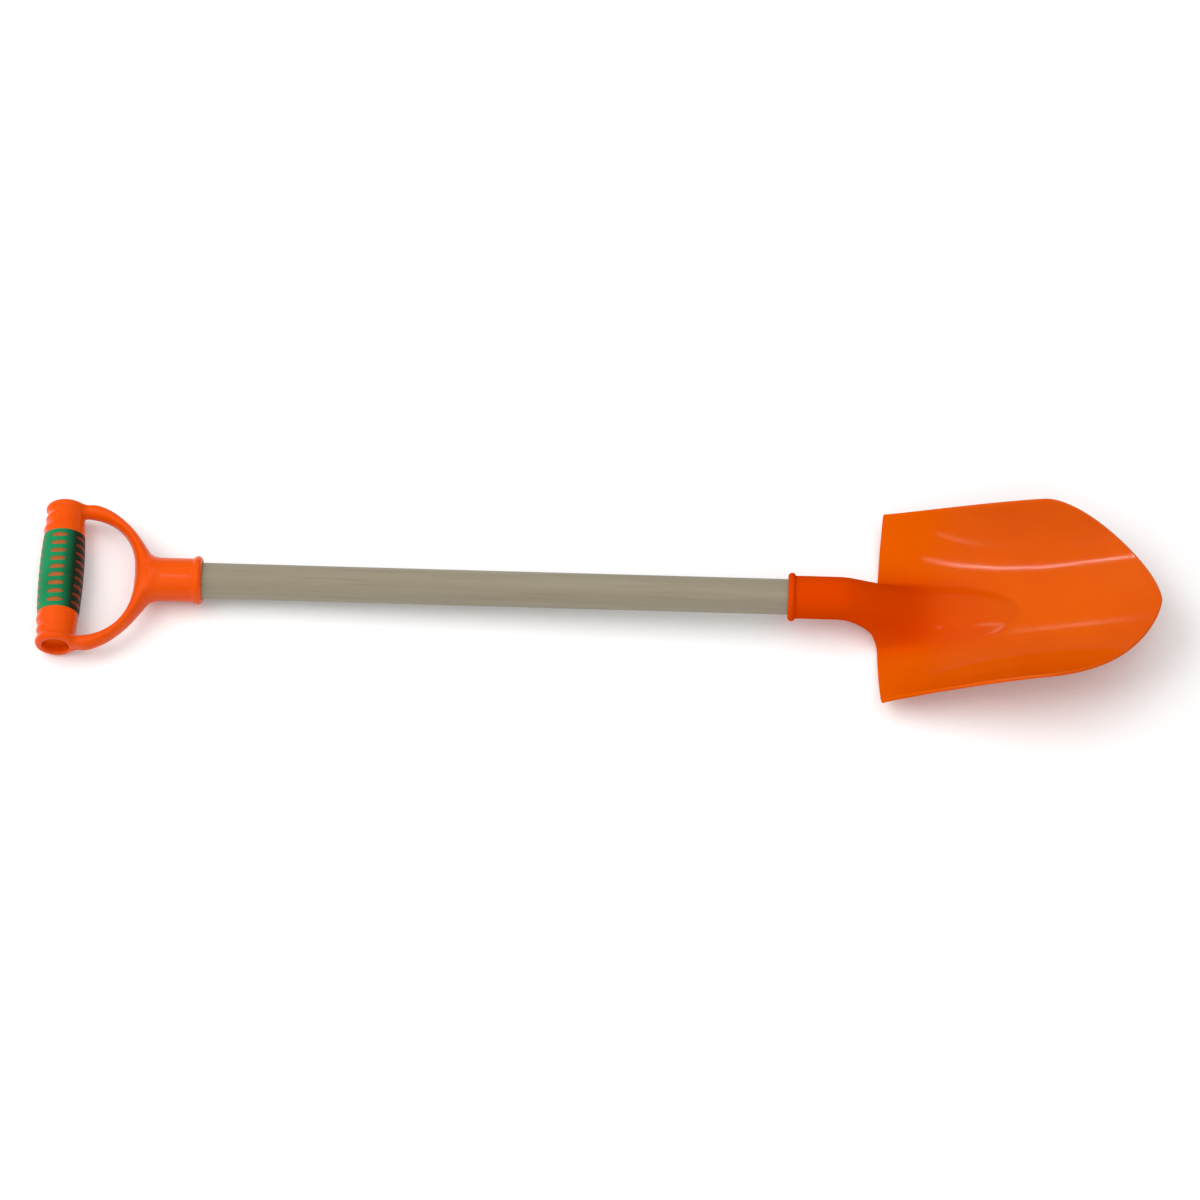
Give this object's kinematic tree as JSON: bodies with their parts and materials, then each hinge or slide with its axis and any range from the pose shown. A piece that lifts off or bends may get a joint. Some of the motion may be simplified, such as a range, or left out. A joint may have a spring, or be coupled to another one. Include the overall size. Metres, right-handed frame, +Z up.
{
  "type": "sand shovel",
  "caption": "Child's long sand shovel: dished round-point plastic blade with a raised frog, straight wooden shaft and a D handle with a soft ribbed grip.",
  "frame": {"origin": "ground under the middle of the shovel, which lies on its back with the hollow of the blade up", "axes": "+X along the shovel towards the tip of the blade, +Y along the grip, +Z up"},
  "size_m": [0.7852, 0.1528, 0.0572],
  "materials": {
    "orange_plastic": "satin moulded plastic, bright orange",
    "shaft_wood": "pale sanded hardwood with a thin clear coat",
    "green_rubber": "soft matt green",
    "screw_steel": "zinc plated"
  },
  "bodies": {
    "root": {"blade": "orange_plastic", "shaft": "shaft_wood", "handle_frame": "orange_plastic", "grip_sleeve": "green_rubber", "blade_screw": "screw_steel", "handle_screw": "screw_steel"}
  },
  "joints": []
}
